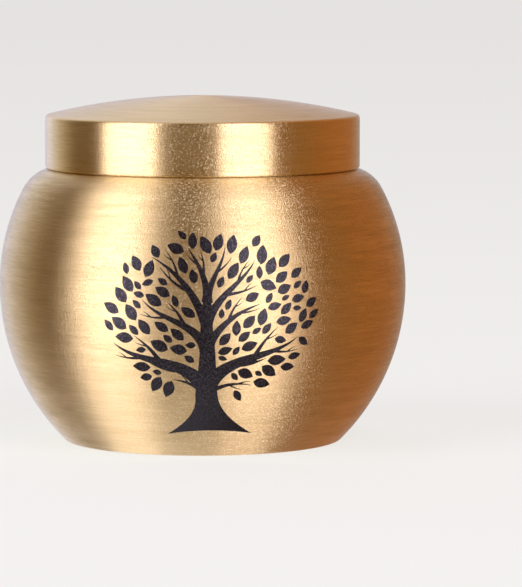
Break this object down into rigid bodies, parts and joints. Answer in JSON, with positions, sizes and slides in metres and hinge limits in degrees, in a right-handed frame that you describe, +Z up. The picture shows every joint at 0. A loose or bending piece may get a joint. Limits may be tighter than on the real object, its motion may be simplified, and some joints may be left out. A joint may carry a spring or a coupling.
{
  "type": "miniature cremation urn",
  "caption": "Small round keepsake urn of brushed brass with a lift-off domed lid and a dark tree printed on the front of its belly.",
  "frame": {"origin": "middle of the flat underside, on the urn's turning axis, at the height of the surface it stands on", "axes": "+Z up along the turning axis; the printed tree faces -Y; +X is to the right when the tree is seen from the front"},
  "size_m": [0.045, 0.045, 0.0381],
  "materials": {
    "brushed_brass": "fine brushing around the axis, clear lacquered",
    "satin_brass": "fine satin, clear lacquered",
    "printed_black": "thin semi-gloss print, flush with the metal"
  },
  "bodies": {
    "root": {"vessel": "brushed_brass", "lid": "satin_brass"}
  },
  "joints": []
}
